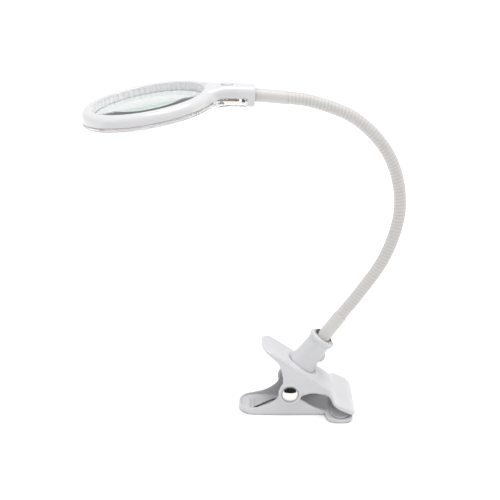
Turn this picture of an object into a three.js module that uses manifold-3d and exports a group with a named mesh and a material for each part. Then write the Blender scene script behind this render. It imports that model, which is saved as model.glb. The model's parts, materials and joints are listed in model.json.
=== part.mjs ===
// Clip-on magnifying lamp: spring clamp, gooseneck arm, and a ring head with a lens and LEDs.
// Millimetres, +Z up. The lamp stands on the flat underside of its lower clamp lever (Z = 0).
// X = 0 and Y = 0 are the middle of the overall length and width.

import * as THREE from 'three';
import { mergeVertices } from 'three/addons/utils/BufferGeometryUtils.js';
import Module from 'manifold-3d';

const wasm = await Module();
wasm.setup();

// ---------------------------------------------------------------- driving dimensions

const GAP = 0.3; // air between pieces that touch on the real lamp
const WALL = 2; // moulded wall thickness

const PIVOT_X = 35.9; // clamp axle, from the middle of the lamp's length
const PIVOT_Z = 20.7; // clamp axle above the table
const PIN_RADIUS = 3;
const PIN_BORE_RADIUS = 3.3;
const EAR_RADIUS = 9.4;
const CAP_RADIUS = 6.8;

const LEVER_ANGLE = 35.5; // slope of the upper lever, degrees
const LEVER_TOP = 22; // upper lever's top face, from the axle
const LEVER_HALF_WIDTH = 17;
const TROUGH_HALF_WIDTH = 15;
const TROUGH_FLOOR = 3.8; // thickness of the lower lever's floor
const JAW_HALF_WIDTH = 29;

const PAD_RIVET_X = 42; // along each jaw, from the axle

const POST_ALONG = -3.4; // post axis along the upper lever, from the axle
const POST_BASE_RADIUS = 12;
const POST_TOP = 52; // top of the post's flange, from the axle
const FLANGE_RADIUS = 11;
const SCREW_SPACING = 7.2; // post screws, each side of the post axis
const INLET_HEIGHT = 34; // middle of the lead's inlet, from the axle
const INLET_TURN = 35; // the inlet faces a little to the rear, degrees

const ARM_RADIUS = 4.9;
const ARM_BORE_RADIUS = 2.4;
const LEAD_RADIUS = 1.7;
const LINK_COUNT = 7;
const LINK_GAP = 2.4; // room for each bend of the arm
const SLEEVE_LENGTH = 24; // each crimped sleeve, outside its socket
const LOWER_SLEEVE_RADIUS = 5.5;
const UPPER_SLEEVE_RADIUS = 5.2;

const RING_CENTRE = [-110.1, 260.4]; // from the axle's X, above the table
const RING_TILT = 9.4; // rise of the ring towards the arm, degrees
const RING_OUTER = 52.4;
const RING_INNER = 42.9;
const RING_HALF_HEIGHT = 6.05;
const SEAM = -2.2; // joint between the white shell and the clear cover, from the ring's mid-plane

const NECK_END = [-29, 268.3]; // middle of the neck's end face
const NECK_SLOPE = 1.5; // fall of the neck towards the arm, degrees
const NECK_HALF_WIDTH = 9;
const NECK_HALF_HEIGHT = 7.9;
const NECK_SEAM = -1.2; // joint between shell and cover, from the neck's axis
const COLLAR = 6; // length of the neck's end that is one closed white collar

const LENS_RADIUS = 45;
const LENS_CURVE = 343; // radius of both faces of the lens
const LENS_EDGE = 1.8;
const LENS_MIDDLE = -1.7; // the lens's mid-plane, from the ring's
const LED_COUNT = 18;
const LED_CIRCLE = 48;
const BEZEL_FLUTES = 48;
const SEGMENTS = 40; // facets round the ring

const BUTTON_X = -21.5; // from the neck's end
const BUTTON_RADIUS = 4.2;
const NECK_SCREW_X = -25.6; // from the neck's end

// ---------------------------------------------------------------- materials

const paint = (color, roughness, metalness) =>
  new THREE.MeshStandardMaterial({ color, roughness, metalness });
const gloss = paint(0xf4f5f6, 0.3, 0);
const shellWhite = paint(0xe6e6ea, 0.4, 0);
const armWhite = paint(0xdcdad4, 0.45, 0.1);
const chrome = paint(0xd8d4d0, 0.12, 1);
const steel = paint(0x9a9ca0, 0.35, 1);
const darkSteel = paint(0x2b2b2d, 0.4, 0.8);
const rubber = paint(0x77787a, 0.8, 0);
const clear = paint(0xe8eeee, 0.1, 0);
const glass = paint(0xcfe3d8, 0.03, 0);
const boardBrown = paint(0x9c6a3c, 0.6, 0);
const ledYellow = paint(0xf2e38a, 0.4, 0);
const black = paint(0x1b1b1d, 0.5, 0);
const leadGrey = paint(0x35363a, 0.6, 0);

// ---------------------------------------------------------------- geometry helpers

const degrees = THREE.MathUtils.degToRad;

function toSolid(geometry) {
  const bare = geometry.clone();
  bare.deleteAttribute('normal');
  bare.deleteAttribute('uv');
  const merged = mergeVertices(bare, 1e-4);
  return new wasm.Manifold(
    new wasm.Mesh({
      numProp: 3,
      vertProperties: new Float32Array(merged.attributes.position.array),
      triVerts: new Uint32Array(merged.index.array),
    }),
  );
}

function toGeometry(solid) {
  const mesh = solid.getMesh();
  const geometry = new THREE.BufferGeometry();
  geometry.setAttribute('position', new THREE.BufferAttribute(mesh.vertProperties, 3));
  geometry.setIndex(new THREE.BufferAttribute(mesh.triVerts, 1));
  geometry.computeVertexNormals();
  return geometry;
}

// Each corner is [x, y] or [x, y, r], where r is how far its rounding reaches along both sides.
function roundedShape(corners) {
  const points = corners.map(([x, y]) => new THREE.Vector2(x, y));
  const shape = new THREE.Shape();
  points.forEach((here, i) => {
    const before = points.at(i - 1).clone().sub(here);
    const after = points[(i + 1) % points.length].clone().sub(here);
    const room = 0.48 * Math.min(before.length(), after.length());
    const reach = Math.min(corners[i][2] ?? 0, room);
    const start = here.clone().add(before.setLength(reach));
    const end = here.clone().add(after.setLength(reach));
    if (i === 0) shape.moveTo(start.x, start.y);
    else shape.lineTo(start.x, start.y);
    if (reach) shape.quadraticCurveTo(here.x, here.y, end.x, end.y);
  });
  shape.closePath();
  return shape;
}

// A plan outline (X, Y) raised from one height to another.
function raised(corners, low, high, curveSegments = 4) {
  const geometry = new THREE.ExtrudeGeometry(roundedShape(corners), {
    depth: high - low,
    bevelEnabled: false,
    curveSegments,
  });
  return toSolid(geometry.translate(0, 0, low));
}

// A side outline (X, Z) spread across Y from one side to the other.
function spread(corners, left, right, curveSegments = 4) {
  const geometry = new THREE.ExtrudeGeometry(roundedShape(corners), {
    depth: right - left,
    bevelEnabled: false,
    curveSegments,
  });
  return toSolid(geometry.rotateX(Math.PI / 2).translate(0, right, 0));
}

// A profile of [radius, height] points turned about the Z axis.
function turned(profile, segments = 48) {
  const points = profile.map(([radius, height]) => new THREE.Vector2(radius, height));
  if (THREE.ShapeUtils.area(points) < 0) points.reverse();
  return new THREE.LatheGeometry(points, segments).rotateX(Math.PI / 2);
}

function cylinder(radius, low, high, segments = 24) {
  return toSolid(turned([[0, low], [radius, low], [radius, high], [0, high]], segments));
}

// A turned piece with its axis laid along Y.
function crosswise(geometry) {
  return geometry.rotateX(-Math.PI / 2);
}

function placed(solid, x, y, z, turnY = 0) {
  return solid.rotate([0, turnY, 0]).translate([x, y, z]);
}

function mesh(name, shape, material) {
  const geometry = shape.isBufferGeometry ? shape : toGeometry(shape);
  const piece = new THREE.Mesh(geometry, material);
  piece.name = name;
  return piece;
}

// ---------------------------------------------------------------- places

// The upper lever's own frame: X down its slope, Z square to its top face, zero on the axle.
const leverFrame = new THREE.Group();
leverFrame.position.set(0, 0, PIVOT_Z);
leverFrame.rotation.y = degrees(LEVER_ANGLE);

// The ring's own frame: Z along the lens axis, X towards the arm.
const ringFrame = new THREE.Group();
ringFrame.position.set(RING_CENTRE[0], 0, RING_CENTRE[1]);
ringFrame.rotation.y = degrees(-RING_TILT);

function leverPoint(along, above) {
  const slope = degrees(LEVER_ANGLE);
  return new THREE.Vector3(
    along * Math.cos(slope) + above * Math.sin(slope),
    0,
    PIVOT_Z - along * Math.sin(slope) + above * Math.cos(slope),
  );
}

// Moves a solid made in the neck's frame (X along the neck, zero at its end face) to the ring's.
function neckToRing(solid) {
  const tilt = degrees(RING_TILT);
  const x = NECK_END[0] - RING_CENTRE[0];
  const z = NECK_END[1] - RING_CENTRE[1];
  return placed(
    solid,
    x * Math.cos(tilt) + z * Math.sin(tilt),
    0,
    z * Math.cos(tilt) - x * Math.sin(tilt),
    NECK_SLOPE + RING_TILT,
  );
}

// ---------------------------------------------------------------- clamp

function axleDisc(radius, half, segments) {
  return toSolid(crosswise(turned([[0, -half], [radius, -half], [radius, half], [0, half]], segments)));
}

function axleBore() {
  return axleDisc(PIN_BORE_RADIUS, 40, 24);
}

// The lower jaw and its pad are bent strips: outline points of the lower side, then the upper.
function jawPlan(start, end, half) {
  return [[start, -half, 8], [end, -half, 7], [end, half, 7], [start, half, 8]];
}

function lowerLever() {
  const side = [
    [-42.4, 5.4, 1], [-42.4, 2.8, 2], [-33, 0, 6], [27.5, 0], [31, 1.4], [31, 3],
    [18.6, 7.8, 4], [8.5, 15], [8.6, 22], [5, 28.6, 3], [-4, 29, 3], [-7.6, 26],
    [-9, 16.2, 4], [-18, 9, 8], [-30, 5.8, 5],
  ];
  const hollow = [
    [-43, 60], [-43, 4.6], [-34, TROUGH_FLOOR, 3], [20, TROUGH_FLOOR], [34, 2.6], [34, 60],
  ];
  const plan = (inset) => {
    const half = TROUGH_HALF_WIDTH - inset;
    return [[-42.4 + inset, -half, 14], [32, -half], [32, half], [-42.4 + inset, half, 14]];
  };
  const outer = spread(side, -TROUGH_HALF_WIDTH, TROUGH_HALF_WIDTH)
    .intersect(raised(plan(0), -1, 60, 6));
  const inner = spread(hollow, -TROUGH_HALF_WIDTH, TROUGH_HALF_WIDTH)
    .intersect(raised(plan(WALL), -1, 70, 6));
  const jaw = spread(
    [[25, 0], [29, 1.6], [34.5, 0.6, 2], [39, 0], [45.5, 0], [51.6, 2.4, 1], [51.4, 4.8, 1],
      [45, 2.9, 1.5], [39, 2.9, 1.5], [33, 4.2, 2], [25, 2.4]],
    -JAW_HALF_WIDTH, JAW_HALF_WIDTH,
  ).intersect(raised(
    [[24, -14], [28.4, -14], [31.5, -JAW_HALF_WIDTH, 8], [52, -JAW_HALF_WIDTH, 7],
      [52, JAW_HALF_WIDTH, 7], [31.5, JAW_HALF_WIDTH, 8], [28.4, 14], [24, 14]],
    -1, 10,
  ));
  const solid = outer
    .subtract(inner)
    .add(jaw)
    .subtract(placed(axleBore(), 0, 0, PIVOT_Z))
    .subtract(cylinder(1.8, 0.3, 10, 14).translate([PAD_RIVET_X, 0, 0]));
  return mesh('lower_lever', solid, shellWhite);
}

// A section (Y, Z) of the upper lever with softened top edges, run along its length.
function crowned(half, top, low, start, end) {
  const section = [
    [-half, low], [half, low], [half, top - 3], [half - 1, top - 1.4], [half - 3.5, top],
    [3.5 - half, top], [1 - half, top - 1.4], [-half, top - 3],
  ];
  const geometry = new THREE.ExtrudeGeometry(roundedShape(section), {
    depth: end - start,
    bevelEnabled: false,
  });
  return toSolid(geometry.rotateX(Math.PI / 2).rotateZ(Math.PI / 2).translate(start, 0, 0));
}

function upperLever() {
  const side = [
    [-43.4, 18.2, 1], [-41.5, 20.2, 2], [-34, LEVER_TOP, 6], [26, LEVER_TOP, 6], [33, 20, 4],
    [46, 21.9, 6], [52.6, 20.4, 2], [51, 17.8, 2], [37, 15.8, 6], [31, 15.6, 2], [26, 15.7, 4],
    [15, 10.6, 5], [10.4, 4], [8, 0], [-8, 0], [-10.6, 4], [-15, 10, 5], [-24, 16.6, 8], [-40, 17.8, 2],
  ];
  const plan = (inset) => {
    const half = LEVER_HALF_WIDTH - inset;
    const jawHalf = JAW_HALF_WIDTH - inset;
    return [
      [-43.4 + inset, -half, 13], [28, -half, 2], [31.5 + inset, -jawHalf, 9],
      [52.6 - inset, -jawHalf, 7], [52.6 - inset, jawHalf, 7], [31.5 + inset, jawHalf, 9],
      [28, half, 2], [-43.4 + inset, half, 13],
    ];
  };
  const outer = spread(side, -JAW_HALF_WIDTH, JAW_HALF_WIDTH)
    .intersect(raised(plan(0), -5, 30, 6))
    .intersect(crowned(LEVER_HALF_WIDTH, LEVER_TOP, -5, -50, 29)
      .add(crowned(JAW_HALF_WIDTH, LEVER_TOP, -5, 28.5, 60)))
    .add(axleDisc(EAR_RADIUS, LEVER_HALF_WIDTH + 1, 28));
  const channel = raised(
    [[-41.5, -15.4, 12], [27, -15.4], [27, 15.4], [-41.5, 15.4, 12]], -25, LEVER_TOP - WALL - 0.8, 6);
  const underJaw = spread(
    [[29, 18.2], [33, 17.8], [50, 19], [50, 0], [29, 0]], -JAW_HALF_WIDTH, JAW_HALF_WIDTH)
    .intersect(raised(jawPlan(31, 50.2, JAW_HALF_WIDTH - WALL), -5, 30, 6));
  const capSeat = axleDisc(CAP_RADIUS + 0.5, 40, 24).subtract(axleDisc(20, 16.8, 12));
  const thumbDish = toSolid(turned(
    [[0, -1.3], [6, -0.9], [11, 0.2], [11, 5], [0, 5]], 20)).translate([-27.5, 0, LEVER_TOP]);
  const postSeat = (y, radius) => cylinder(radius, 10, 30, 14).translate([POST_ALONG, y, 0]);
  const low = LEVER_TOP - 1;
  const rimInner = POST_BASE_RADIUS + GAP;
  const postRim = toSolid(turned([
    [rimInner, low], [rimInner + 3, low], [rimInner + 3, LEVER_TOP], [rimInner + 1.6, LEVER_TOP + 1],
    [rimInner, LEVER_TOP + 1], [rimInner, low],
  ], 28))
    .translate([POST_ALONG, 0, 0])
    .intersect(raised([[-40, -15], [40, -15], [40, 15], [-40, 15]], 0, 40));
  const solid = outer
    .subtract(thumbDish)
    .add(postRim)
    .subtract(channel)
    .subtract(underJaw)
    .subtract(capSeat)
    .subtract(axleBore())
    .subtract(postSeat(SCREW_SPACING, 1.8))
    .subtract(postSeat(-SCREW_SPACING, 1.8))
    .subtract(postSeat(0, 3.5))
    .subtract(cylinder(1.8, 10, 20.2, 14).translate([PAD_RIVET_X, 0, 0]));
  return mesh('upper_lever', solid, shellWhite);
}

function pivotPin() {
  const half = 16.4;
  return mesh('pivot_pin', crosswise(turned(
    [[0, -half], [PIN_RADIUS, -half], [PIN_RADIUS, half], [0, half]], 16)), steel);
}

function pivotCap(name, side) {
  const dome = toSolid(crosswise(turned(
    [[0, 17.1], [CAP_RADIUS, 17.1], [CAP_RADIUS, 17.6], [CAP_RADIUS - 0.9, 18.5],
      [CAP_RADIUS - 3, 19.4], [0, 19.8]], 24)));
  return mesh(name, dome.scale([1, side, 1]), chrome);
}

// A round tube of any length along a curve, with an optional bore.
function tube(curve, radius, steps, sides = 12, bore = 0) {
  const circle = (r, count) => Array.from({ length: count }, (_, i) => {
    const turn = (2 * Math.PI * i) / count;
    return new THREE.Vector2(r * Math.cos(turn), r * Math.sin(turn));
  });
  const section = new THREE.Shape(circle(radius, sides));
  if (bore) section.holes.push(new THREE.Path(circle(bore, 8)));
  return new THREE.ExtrudeGeometry(section, { extrudePath: curve, steps, bevelEnabled: false });
}

// One wire: along the trough floor, five turns round the axle, then under the thumb pad.
function torsionSpring() {
  const half = 11.6;
  const coil = 5.6;
  const first = degrees(-110);
  const last = degrees(5 * 360 + 32);
  const steps = 54;
  const points = [
    new THREE.Vector3(-29.5, -half, TROUGH_FLOOR + 1.3),
    new THREE.Vector3(-20, -half, 9.8),
    new THREE.Vector3(-11, -half, 14.2),
  ];
  for (let i = 0; i <= steps; i += 1) {
    const turn = first + ((last - first) * i) / steps;
    points.push(new THREE.Vector3(
      coil * Math.cos(turn), -half + (2 * half * i) / steps, PIVOT_Z + coil * Math.sin(turn)));
  }
  const tip = leverPoint(-30, LEVER_TOP - 4.4);
  const leaving = points.at(-1);
  points.push(new THREE.Vector3((tip.x + leaving.x) / 2, half, (tip.z + leaving.z) / 2));
  points.push(new THREE.Vector3(tip.x, half, tip.z));
  const wire = tube(new THREE.CatmullRomCurve3(points, false, 'centripetal'), 0.9, 78, 5);
  return mesh('torsion_spring', wire, steel);
}

// A rivet with its head towards +Z; the shank starts at zero.
function rivet(name, shank) {
  const piece = mesh(name, turned(
    [[0, 0], [1.5, 0], [1.5, shank], [2.6, shank], [2.2, shank + 0.4], [0, shank + 0.55]], 16), steel);
  piece.position.x = PAD_RIVET_X;
  return piece;
}

function lowerRivet() {
  const piece = rivet('lower_pad_rivet', 4.2);
  piece.position.z = 0.6;
  return piece;
}

function upperRivet() {
  const piece = rivet('upper_pad_rivet', 2.7);
  piece.position.z = 19.9;
  piece.rotation.x = Math.PI;
  return piece;
}

function lowerPad() {
  const strip = spread(
    [[33.6, 4.7], [39, 3.2, 1.5], [45, 3.2, 1.5], [49.6, 4.6], [49.6, 5.6], [45, 4.5, 1.5],
      [39, 4.5, 1.5], [33.6, 6]],
    1 - JAW_HALF_WIDTH, JAW_HALF_WIDTH - 1)
    .intersect(raised(jawPlan(33.6, 49.6, JAW_HALF_WIDTH - 2.5), -1, 10));
  const hole = cylinder(1.8, 0, 10, 14).translate([PAD_RIVET_X, 0, 0]);
  return mesh('lower_grip_pad', strip.subtract(hole), rubber);
}

function upperPad() {
  const strip = spread([[33.5, 16], [49, 16.8], [49, 18.4], [33.5, 17.4]],
    3 - JAW_HALF_WIDTH, JAW_HALF_WIDTH - 3)
    .intersect(raised(jawPlan(33.5, 49, JAW_HALF_WIDTH - 3), 10, 22));
  const hole = cylinder(1.8, 10, 22, 14).translate([PAD_RIVET_X, 0, 0]);
  const headSeat = cylinder(3, 10, 17.4, 20).translate([PAD_RIVET_X, 0, 0]);
  return mesh('upper_grip_pad', strip.subtract(hole).subtract(headSeat), rubber);
}

// ---------------------------------------------------------------- post

// Lays a piece made along +Z about the post's inlet axis.
function alongInlet(solid) {
  return solid.rotate([0, 90, 0]).rotate([0, 0, INLET_TURN]).translate([POST_ALONG, 0, INLET_HEIGHT]);
}

function armPost() {
  const base = LEVER_TOP + GAP;
  const flange = FLANGE_RADIUS;
  const bore = LOWER_SLEEVE_RADIUS + GAP;
  const profile = [
    [10, base], [POST_BASE_RADIUS, base], [11.2, 26], [10.5, 32], [10.1, 39], [10, 47.8],
    [flange, 48.6], [flange, 51], [flange - 0.9, POST_TOP],
    [bore, POST_TOP], [bore, 41], [8.2, 39], [8.4, 32], [10, base],
  ];
  const body = toSolid(turned(profile, 24));
  const boss = (y) => cylinder(3, base, 33, 10).translate([0, y, 0]);
  const pilot = (y) => cylinder(1.5, base - 1, 31, 8).translate([0, y, 0]);
  const housing = alongInlet(cylinder(5.8, 8.6, 13.8, 20)).translate([-POST_ALONG, 0, 0]);
  const opening = alongInlet(cylinder(4.3, 0, 20, 16)).translate([-POST_ALONG, 0, 0]);
  const solid = body
    .add(boss(SCREW_SPACING))
    .add(boss(-SCREW_SPACING))
    .add(housing)
    .subtract(pilot(SCREW_SPACING))
    .subtract(pilot(-SCREW_SPACING))
    .subtract(opening)
    .translate([POST_ALONG, 0, 0]);
  return mesh('arm_post', solid, shellWhite);
}

function dcInlet() {
  const socket = toSolid(turned(
    [[0, 5], [4, 5], [4, 13.5], [2.75, 13.5], [2.75, 6.5], [0.65, 6.5], [0.65, 12.6], [0, 12.6]], 16));
  return mesh('dc_inlet', alongInlet(socket), black);
}

function postScrew(name, y) {
  const under = LEVER_TOP - WALL - 0.8 - GAP;
  const piece = mesh(name, turned(
    [[0, under - 1.8], [2.2, under - 1.8], [2.8, under - 1], [2.8, under], [1.2, under], [1.2, 30],
      [0, 30]], 16), steel);
  piece.position.set(POST_ALONG, y, 0);
  return piece;
}

// A wire clip whose two prongs hold the arm's sleeve down on the flange.
function retainingClip() {
  const apart = LOWER_SLEEVE_RADIUS + 1.1;
  const points = [
    [-apart, 0.5], [-apart, 3.5], [-4.4, 7], [0, 8.4], [4.4, 7], [apart, 3.5], [apart, 0.5],
  ];
  const height = POST_TOP + 1.1;
  const curve = new THREE.CatmullRomCurve3(
    points.map(([x, y]) => new THREE.Vector3(POST_ALONG + x, y, height)), false, 'centripetal');
  return mesh('retaining_clip', tube(curve, 0.8, 14, 6), darkSteel);
}

// ---------------------------------------------------------------- arm

// The arm's middle line, from inside the post to inside the neck (X from the axle, Z above the table).
const postInside = leverPoint(POST_ALONG, 41.5);
const postMouth = leverPoint(POST_ALONG, POST_TOP);
const sleeveEnd = leverPoint(POST_ALONG, POST_TOP + SLEEVE_LENGTH);
const armRoute = new THREE.CatmullRomCurve3([
  postInside,
  postMouth,
  sleeveEnd,
  ...[[54.1, 102], [75.8, 137.8], [85.2, 178.5], [75.8, 218.5], [49.5, 248.6], [13.9, 263.4],
    [-5.7, 266.2]]
    .map(([x, z]) => new THREE.Vector3(x, 0, z)),
  new THREE.Vector3(NECK_END[0] + 1.5, 0, NECK_END[1] - 0.1),
  new THREE.Vector3(NECK_END[0] - 8, 0, NECK_END[1] + 0.4),
], false, 'centripetal');
armRoute.arcLengthDivisions = 800;

// The stretch of a curve between two lengths measured along it.
class Stretch extends THREE.Curve {
  constructor(curve, from, to) {
    super();
    this.curve = curve;
    this.from = from / curve.getLength();
    this.to = to / curve.getLength();
  }

  getPoint(t, target = new THREE.Vector3()) {
    return this.curve.getPointAt(this.from + (this.to - this.from) * t, target);
  }
}

const routeLength = armRoute.getLength();
const firstLink = postInside.distanceTo(sleeveEnd); // route length where the bare arm starts
const lastLink = routeLength - 8.4 - SLEEVE_LENGTH; // and where it ends
const linkPitch = (lastLink - firstLink) / LINK_COUNT;

function linkEnds(index) {
  const from = firstLink + linkPitch * index + (index ? LINK_GAP / 2 : GAP);
  const to = firstLink + linkPitch * (index + 1) - (index < LINK_COUNT - 1 ? LINK_GAP / 2 : GAP);
  return [from, to];
}

function armLink(index) {
  const [from, to] = linkEnds(index);
  return mesh(
    `gooseneck_link_${index + 1}`,
    tube(new Stretch(armRoute, from, to), ARM_RADIUS, 5, 12, ARM_BORE_RADIUS),
    armWhite,
  );
}

function armLead(index) {
  let [from, to] = linkEnds(index);
  if (index === 0) from = 0;
  if (index === LINK_COUNT - 1) to = routeLength;
  const steps = Math.ceil((to - from) / 6);
  const geometry = tube(new Stretch(armRoute, from, to), LEAD_RADIUS, steps, 8);
  return mesh(`arm_lead_${index + 1}`, geometry, leadGrey);
}

function sleeve(name, radius, from, to) {
  const geometry = tube(new Stretch(armRoute, from, to), radius, 4, 16, ARM_BORE_RADIUS);
  return mesh(name, geometry, armWhite);
}

// ---------------------------------------------------------------- head

// The neck's plan, section and side view in its own frame; inset makes its hollow.
function neckPlan(inset) {
  const half = NECK_HALF_WIDTH - inset;
  const flare = 23 - inset;
  return [
    [-52, -flare], [-36, -flare], [-27, -half, 12], [0, -half, 1.5],
    [0, half, 1.5], [-27, half, 12], [-36, flare], [-52, flare],
  ];
}

function neckBody(inset, low, high, end) {
  const half = NECK_HALF_WIDTH - inset;
  const soft = 3 - inset;
  const section = [
    [-half, soft + low], [soft - half, low], [half - soft, low], [half, soft + low],
    [half, high - soft], [half - soft, high], [soft - half, high], [-half, high - soft],
  ];
  const bar = toSolid(new THREE.ExtrudeGeometry(roundedShape(section), {
    depth: 50 + end, bevelEnabled: false,
  }).rotateX(Math.PI / 2).rotateZ(Math.PI / 2).translate(-50, 0, 0));
  const side = spread(
    [[-50, low], [end, low], [end, high], [-24, high], [-34, high - 1.8], [-50, high - 1.8]], -30, 30);
  const flare = raised(neckPlan(inset), low + 1.6 - inset, high - 4.5, 5);
  return bar.intersect(side).add(flare.subtract(raised(
    [[-12, -30], [10, -30], [10, 30], [-12, 30]], -30, 30)));
}

// Everything inside a radius about the lens axis.
function core(radius) {
  return cylinder(radius, -40, 40, SEGMENTS);
}

function headShell() {
  const wall = RING_OUTER - WALL;
  const lip = RING_INNER;
  const top = RING_HALF_HEIGHT;
  const ring = toSolid(turned([
    [RING_OUTER, SEAM], [RING_OUTER, 0.4], [RING_OUTER - 1.2, 3.2], [RING_OUTER - 3, 5.2],
    [RING_OUTER - 5, top], [lip + 2.4, top], [lip + 0.6, 5.5], [lip, 4.8], [lip, 4.2],
    [lip + 2.6, 4.2], [lip + 2.6, -0.4], [lip + 4, -0.4], [lip + 4, 3.8], [wall - 1.8, 3.8],
    [wall, 0.4], [wall, SEAM], [RING_OUTER, SEAM],
  ], SEGMENTS));
  const high = NECK_HALF_HEIGHT;
  const belowSeam = raised([[-80, -40], [-COLLAR, -40], [-COLLAR, 40], [-80, 40]], -40, NECK_SEAM);
  const hollow = neckBody(WALL, WALL - high, high - WALL, -WALL);
  const hollowInRing = neckToRing(hollow).subtract(core(RING_INNER + 4.2));
  const neck = neckBody(0, -high, high, 0)
    .subtract(hollow)
    .subtract(belowSeam)
    .subtract(sleeveBore())
    .subtract(cylinder(BUTTON_RADIUS + GAP, 0, 20, 24).translate([BUTTON_X, 0, 0]));
  const solid = ring
    .subtract(hollowInRing)
    .add(neckToRing(neck).subtract(core(RING_OUTER - 1)));
  return mesh('head_shell', solid, gloss);
}

function sleeveBore() {
  return cylinder(UPPER_SLEEVE_RADIUS + GAP, -3, 3, 20).rotate([0, 90, 0]);
}

function ledCover() {
  const low = -RING_HALF_HEIGHT;
  const seam = SEAM - GAP;
  const ring = toSolid(turned([
    [RING_OUTER, seam], [RING_OUTER, -4.4], [RING_OUTER - 1, -5.6], [RING_OUTER - 2.4, low],
    [RING_INNER + 1.4, low], [RING_INNER, -5], [RING_INNER, -3.4], [RING_INNER + 2.8, -2.9],
    [RING_INNER + 2.8, -4.7], [RING_OUTER - 2.2, -4.7], [RING_OUTER - 1.4, seam],
    [RING_OUTER, seam],
  ], SEGMENTS));
  const high = NECK_HALF_HEIGHT;
  const aboveSeam = raised([[-80, -40], [10, -40], [10, 40], [-80, 40]], NECK_SEAM - GAP, 40);
  const collar = raised([[-COLLAR - GAP, -40], [10, -40], [10, 40], [-COLLAR - GAP, 40]], -40, 40);
  const hollow = neckBody(1.5, 1.5 - high, high, 0);
  const neck = neckBody(0, -high, high, 0).subtract(hollow).subtract(aboveSeam).subtract(collar)
    .subtract(cylinder(1.5, -20, 0, 12).translate([NECK_SCREW_X, 0, 0]));
  const aboveRingSeam = cylinder(RING_OUTER + 3, seam, 20, SEGMENTS);
  const solid = ring
    .subtract(neckToRing(hollow).subtract(core(RING_INNER + 4)))
    .add(neckToRing(neck).subtract(core(RING_OUTER - 1)).subtract(aboveRingSeam));
  return mesh('led_cover', solid, clear);
}

function lens() {
  const steps = 4;
  const sag = (r) => LENS_CURVE - Math.sqrt(LENS_CURVE ** 2 - r ** 2);
  const rise = sag(LENS_RADIUS);
  const top = [];
  for (let i = 0; i <= steps; i += 1) {
    const r = (LENS_RADIUS * i) / steps;
    top.push([r, LENS_EDGE / 2 + rise - sag(r)]);
  }
  const profile = [...top.map(([r, z]) => [r, -z]), ...top.reverse()];
  const piece = mesh('lens', turned(profile, SEGMENTS), glass);
  piece.position.z = LENS_MIDDLE;
  return piece;
}

function lensBezel() {
  const radius = RING_INNER + 2.3;
  const circle = (count, at) => Array.from({ length: count }, (_, i) => {
    const turn = (2 * Math.PI * i) / count;
    return new THREE.Vector2(at(i) * Math.cos(turn), at(i) * Math.sin(turn));
  });
  const shape = new THREE.Shape(circle(SEGMENTS, () => radius));
  const flute = (i) => (i % 2 ? RING_INNER + 0.8 : RING_INNER - 0.1);
  shape.holes.push(new THREE.Path(circle(2 * BEZEL_FLUTES, flute)));
  const geometry = new THREE.ExtrudeGeometry(shape, { depth: 4.4, bevelEnabled: false });
  return mesh('lens_bezel', geometry.translate(0, 0, -0.5), gloss);
}

function ledBoard() {
  return mesh('led_board', turned([
    [RING_INNER + 3.1, -2], [RING_OUTER - 2.4, -2], [RING_OUTER - 2.4, -0.8],
    [RING_INNER + 3.1, -0.8], [RING_INNER + 3.1, -2],
  ], SEGMENTS), boardBrown);
}

function led(index) {
  const turn = (2 * Math.PI * (index + 0.5)) / LED_COUNT;
  const piece = mesh(
    `led_${String(index + 1).padStart(2, '0')}`, new THREE.BoxGeometry(2.8, 3.5, 1.2), ledYellow);
  piece.position.set(LED_CIRCLE * Math.cos(turn), LED_CIRCLE * Math.sin(turn), -2.9);
  piece.rotation.z = turn;
  return piece;
}

// Pieces of the neck, in its own frame.
function switchBoard() {
  return mesh('switch_board', raised([[-31, -7], [-12, -7], [-12, 7], [-31, 7]], -3.6, -2.4)
    .subtract(cylinder(1.8, -5, 5, 12).translate([NECK_SCREW_X, 0, 0])), boardBrown);
}

function switchBody() {
  const left = BUTTON_X - 2.2;
  const right = BUTTON_X + 2.2;
  const body = raised([[left, -3], [right, -3], [right, 3], [left, 3]], -2.1, 3);
  return mesh('switch_body', body, black);
}

// The cap stands a little above the neck; its stem reaches down to the switch.
function switchButton() {
  const top = NECK_HALF_HEIGHT;
  const piece = mesh('switch_button', turned([
    [0, 4.7], [1.6, 4.7], [1.6, 5.4], [BUTTON_RADIUS, 5.4], [BUTTON_RADIUS, top + 0.5],
    [BUTTON_RADIUS - 0.8, top + 1.1], [2, top + 1.4], [0, top + 1.5]], 18), gloss);
  piece.position.x = BUTTON_X;
  return piece;
}

function neckScrew() {
  const low = -NECK_HALF_HEIGHT - 1.6;
  const head = -NECK_HALF_HEIGHT - GAP;
  const piece = mesh('neck_screw', turned([
    [0, low], [2, low], [2.5, low + 0.5], [2.5, head], [1.2, head], [1.2, 3], [0, 3]], 12), steel);
  piece.position.x = NECK_SCREW_X;
  return piece;
}

// ---------------------------------------------------------------- assembly

const neckFrame = new THREE.Group();
neckFrame.position.set(NECK_END[0], 0, NECK_END[1]);
neckFrame.rotation.y = degrees(NECK_SLOPE);

const axle = new THREE.Group();
axle.position.z = PIVOT_Z;

const lamp = new THREE.Group();
const fromAxle = new THREE.Group();
fromAxle.position.x = PIVOT_X;
lamp.add(fromAxle);

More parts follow.
